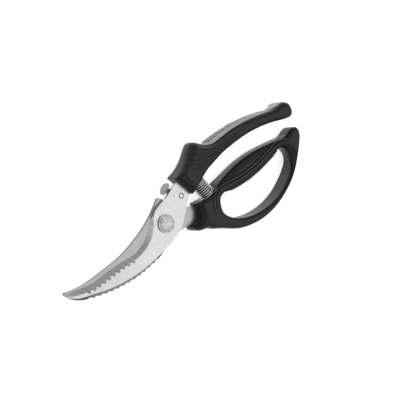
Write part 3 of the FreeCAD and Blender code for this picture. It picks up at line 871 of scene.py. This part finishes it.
def finger_loop():
    """The closed finger loop and its collar."""
    path = spline(LOOP_KEYS, LOOP_STATION, closed=True)
    share = clustered(LOOP_ROWS)[:, None]
    plan = path[:, None, 0:2] * (1 - share) + path[:, None, 2:4] * share
    count = len(plan)
    inner = np.column_stack([path[:, 0:2], path[:, 4]])
    inner = np.vstack([inner, inner[:1]])
    top = int(np.argmin(np.linalg.norm(path[:, 2:4] - np.array(COLLAR_HIGH[0]), axis=1)))
    low = int(np.argmin(np.linalg.norm(path[:, 2:4] - np.array(COLLAR_LOW[0]), axis=1)))
    free = np.arange(top, low + 1)
    outer = np.column_stack([path[free, 2:4], path[free, 5]])
    joint_stations = np.concatenate([np.arange(low, count), np.arange(0, top + 1)])
    joint = path[joint_stations, 2:4]

    mouth = resample(spline(LOOP_MOUTH, LOOP_MOUTH_SPACING), np.linspace(0, 1, len(joint)))
    fade = clustered(COLLAR_STEPS)
    collar = joint[None] * (1 - fade[:, None, None]) + mouth[None] * fade[:, None, None]
    sides = np.linspace(0, 1, len(joint))[None, :, None]
    for keys, column, weight in ((COLLAR_LOW, 0, 1 - sides), (COLLAR_HIGH, -1, sides)):
        line = resample(spline(keys, COLLAR_SPACING), fade)
        line[0] = collar[0, column]
        collar = collar + weight**3 * (line - collar[:, column])[:, None]

    def rim(line, radius):
        return np.column_stack([line, np.full(len(line), radius)])

    rims = [
        inner,
        outer,
        rim(collar[:, 0], COLLAR_LOW_RADIUS),
        rim(collar[:, -1], COLLAR_HIGH_RADIUS),
        rim(collar[-1], MOUTH_RADIUS),
    ]
    groove = [rim(joint, GROOVE_RADIUS)]
    height = fillet(plan, rims)
    lap = np.arange(count) / count
    lap = np.where(lap > LAP_COUNTS_BACK, lap - 1, lap)
    grooves, wear_and_painted_light = loop_relief(plan, inner[:, :2], lap)
    flat = 1 - smooth_step(HALF - height, 0, GROOVE_DROP_ENDS)
    height += grooves * flat
    height -= HALF - fillet(plan, groove)
    ring = slab("finger_loop", plan, height, BLACK, closed=True, relief=wear_and_painted_light * flat)
    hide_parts("loop_grip")
    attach(ring, "loop_half")

    height = fillet(collar, rims)
    height -= HALF - fillet(collar, groove)
    piece = slab("loop_collar", collar, height, COLLAR)
    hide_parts("loop_bolster")
    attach(piece, "loop_half")


TOP_STRIP = [
    (54.0, 1.6), (66, 4.0), (82, 5.7), (97, 5.1), (110, 3.05), (120, 1.1), (128, -0.05),
]
TOP_STRIP_STATION = 0.3
TOP_STRIP_HALF = 3.0
TOP_STRIP_NARROW = 0.35
TOP_STRIP_TAPER = 9.0
TOP_STRIP_FOOT = 1.4
TOP_STRIP_HIGH = 0.12
TOP_STRIP_ROUND = 0.35
EYE_STRIP = [(113.8, -5.8), (107, -6.9), (95, -8.8), (80, -9.8), (67, -8.9), (56.6, -7.3)]
EYE_STRIP_HALF = 7.4
EYE_PITCH = 1.9
EYE_GAP = 0.3
EYE_RIB_HIGH = 1.0
EYE_STATION = 0.16
EYE_TAPER = 6.0
EYE_FOOT = 1.2
EYE_HIGH = 0.1
EYE_ROUND = 0.5
EYE_SHADE = 0.6


def loop_strips():
    """The light strip on the upper bar, and the ribs on the opening's upper edge."""
    path = spline(TOP_STRIP, TOP_STRIP_STATION)
    count = len(path)

    def flat_section(i):
        ends = min(i, count - 1 - i) * TOP_STRIP_STATION
        full = smooth_step(ends, 0, TOP_STRIP_TAPER)
        half = TOP_STRIP_HALF * (TOP_STRIP_NARROW + (1 - TOP_STRIP_NARROW) * full)
        edges = (-TOP_STRIP_FOOT, TOP_STRIP_HIGH, TOP_STRIP_ROUND)
        outline = rounded_section(half, *edges, steps=4, across=10)
        return [(v, z, 0.0) for v, z in outline]

    strip = band("loop_light_strip", path, flat_section, STRIP)
    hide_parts("loop_top_strip")
    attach(strip, "loop_half")

    path = spline(EYE_STRIP, EYE_STATION)
    run = length_along(path)

    def ribbed_section(i):
        ends = min(run[i], run[-1] - run[i])
        fade = smooth_step(ends, 0, EYE_TAPER)
        rib = ribs(run[i], EYE_PITCH, EYE_GAP)
        high = EYE_HIGH + EYE_RIB_HIGH * rib * fade
        outline = rounded_section(EYE_STRIP_HALF, -EYE_FOOT, high, EYE_ROUND, steps=4, across=12)
        # Rib crests are painted lighter, as wear and highlight, and the gaps darker, as painted shade.
        return [(v, z, (rib - EYE_SHADE) * fade) for v, z in outline]

    ribbed = band("loop_eye_ribs", path, ribbed_section, BLACK)
    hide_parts("loop_rib_strip")
    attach(ribbed, "loop_half")


# ------------------------------------------------------------------------------- spring

SPRING_UPPER = (40.8, 11.4)
SPRING_LOWER = (44.3, -2.0)
COIL_R = 5.9
WIRE_R = 0.5
TURNS = 7.5
# At the two ends together, this much of a turn lies flat on the seats.
FLAT_TURNS = 0.8
SEAT_CLEAR = 0.1
WIRE_SIDES = 12
TURN_STEPS = 56


def coil_spring():
    """A round-wire coil between the handles."""
    start = np.array([*SPRING_UPPER, 0.0])
    end = np.array([*SPRING_LOWER, 0.0])
    length = np.linalg.norm(end - start)
    down = (end - start) / length
    across = np.array([0.0, 0.0, 1.0])
    side = np.cross(down, across)
    steps = int(TURNS * TURN_STEPS)
    flat = FLAT_TURNS / TURNS
    seat = WIRE_R + SEAT_CLEAR
    vertices = []
    for i in range(steps + 1):
        share = i / steps
        turn = 2 * math.pi * TURNS * share
        rise = np.clip((share - flat / 2) / (1 - flat), 0, 1)
        centre_line = start + down * (seat + (length - 2 * seat) * rise)
        out = side * math.cos(turn) + across * math.sin(turn)
        centre = centre_line + out * COIL_R
        for k in range(WIRE_SIDES):
            a = 2 * math.pi * k / WIRE_SIDES
            vertices.append(centre + out * WIRE_R * math.cos(a) + down * WIRE_R * math.sin(a))
    faces = grid_faces(steps + 1, WIRE_SIDES, close_columns=True)
    faces.append(tuple(range(WIRE_SIDES)))
    faces.append(tuple(steps * WIRE_SIDES + k for k in reversed(range(WIRE_SIDES))))
    piece = new_object("coil_spring", world(np.array(vertices)), faces, WIRE)
    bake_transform(piece)
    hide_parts("handle_spring")


# ----------------------------------------------------------------------------- CAD nodes

NODE_MATERIALS = {
    "front_blade": BLADE_A,
    "rear_blade": BLADE_B,
    "pivot_screw": HEAD,
    "pivot_washer": HEAD,
    "pivot_nut": HEAD,
    "latch_lever": LATCH,
    "latch_washer": LATCH,
    "latch_eyelet": RIVET,
    "upper_spring_post": COLLAR,
    "loop_spring_post": COLLAR,
    "upper_core": CORE,
    "loop_core": CORE,
}


def dress_nodes():
    """Materials for the CAD nodes that keep their own mesh."""
    for name, material in NODE_MATERIALS.items():
        slots = frame["nodes"][name].data.materials
        slots.clear()
        slots.append(material)


# -------------------------------------------------------------------------------- studio

CAMERA_SIDE = math.radians(32.5)
CAMERA_TURN = math.radians(32.4)
CAMERA_FAR = 1.0
CAMERA_LENS = 117.7
CAMERA_SENSOR = 36
LOOK_AT = Vector((0.012813, -0.000549, 0.009))


def make_camera():
    """A camera that leans off the blades' normal, with the shears turned in its picture."""
    along = Vector((math.cos(CAMERA_TURN), -math.sin(CAMERA_TURN), 0))
    up = Vector((math.sin(CAMERA_TURN), math.cos(CAMERA_TURN), 0))
    back = -math.sin(CAMERA_SIDE) * along + math.cos(CAMERA_SIDE) * Vector((0, 0, 1))
    right = up.cross(back)
    data = bpy.data.cameras.new("camera")
    data.lens = CAMERA_LENS
    data.sensor_width = CAMERA_SENSOR
    camera = bpy.data.objects.new("camera", data)
    rotation = Matrix((right, up, back)).transposed().to_4x4()
    camera.matrix_world = Matrix.Translation(LOOK_AT + back * CAMERA_FAR) @ rotation
    bpy.context.scene.collection.objects.link(camera)
    bpy.context.scene.camera = camera


def softbox(name, direction, far, size, power):
    """A square area light that looks at the object from a direction."""
    data = bpy.data.lights.new(name, "AREA")
    data.size = size
    data.energy = power
    lamp = bpy.data.objects.new(name, data)
    way = Vector(direction).normalized()
    lamp.location = LOOK_AT + way * far
    lamp.rotation_euler = way.to_track_quat("Z", "Y").to_euler()
    bpy.context.scene.collection.objects.link(lamp)


FLOOR_REACH = 6.0
FLOOR_GLOW = 0.75
SKY_STRENGTH = 0.55


def make_studio():
    """A pale floor that glows a little, an even sky and two soft lamps."""
    floor_mesh = bpy.data.meshes.new("floor")
    signs = ((-1, -1), (1, -1), (1, 1), (-1, 1))
    corners = [(x * FLOOR_REACH, y * FLOOR_REACH, 0) for x, y in signs]
    floor_mesh.from_pydata(corners, [], [(0, 1, 2, 3)])
    paper = Surface("floor_paper", (0.9, 0.9, 0.9), 0.8, specular=0.1)
    tone = paper.share(paper.noise(300, 2), 0.3, 0.7)
    paper.paint(paper.mixed(tone, (0.92, 0.92, 0.92), (0.9, 0.9, 0.9)))
    paper.shader.inputs["Emission Color"].default_value = (1, 1, 1, 1)
    paper.shader.inputs["Emission Strength"].default_value = FLOOR_GLOW
    floor_mesh.materials.append(paper.material)
    floor = bpy.data.objects.new("floor", floor_mesh)
    bpy.context.scene.collection.objects.link(floor)

    sky = bpy.data.worlds.new("studio")
    sky.use_nodes = True
    background = sky.node_tree.nodes["Background"]
    background.inputs["Color"].default_value = (1, 1, 1, 1)
    background.inputs["Strength"].default_value = SKY_STRENGTH
    bpy.context.scene.world = sky
    softbox("overhead", (0.454, -0.288, 0.843), 1.3, 1.1, 2.7)
    softbox("side", (-0.6, 0.7, 0.6), 1.6, 0.7, 0.9)
    bpy.context.scene.view_settings.view_transform = "Standard"


upper_handle()
rib_pad()
end_pad()
finger_loop()
loop_strips()
coil_spring()
dress_nodes()
make_studio()
make_camera()
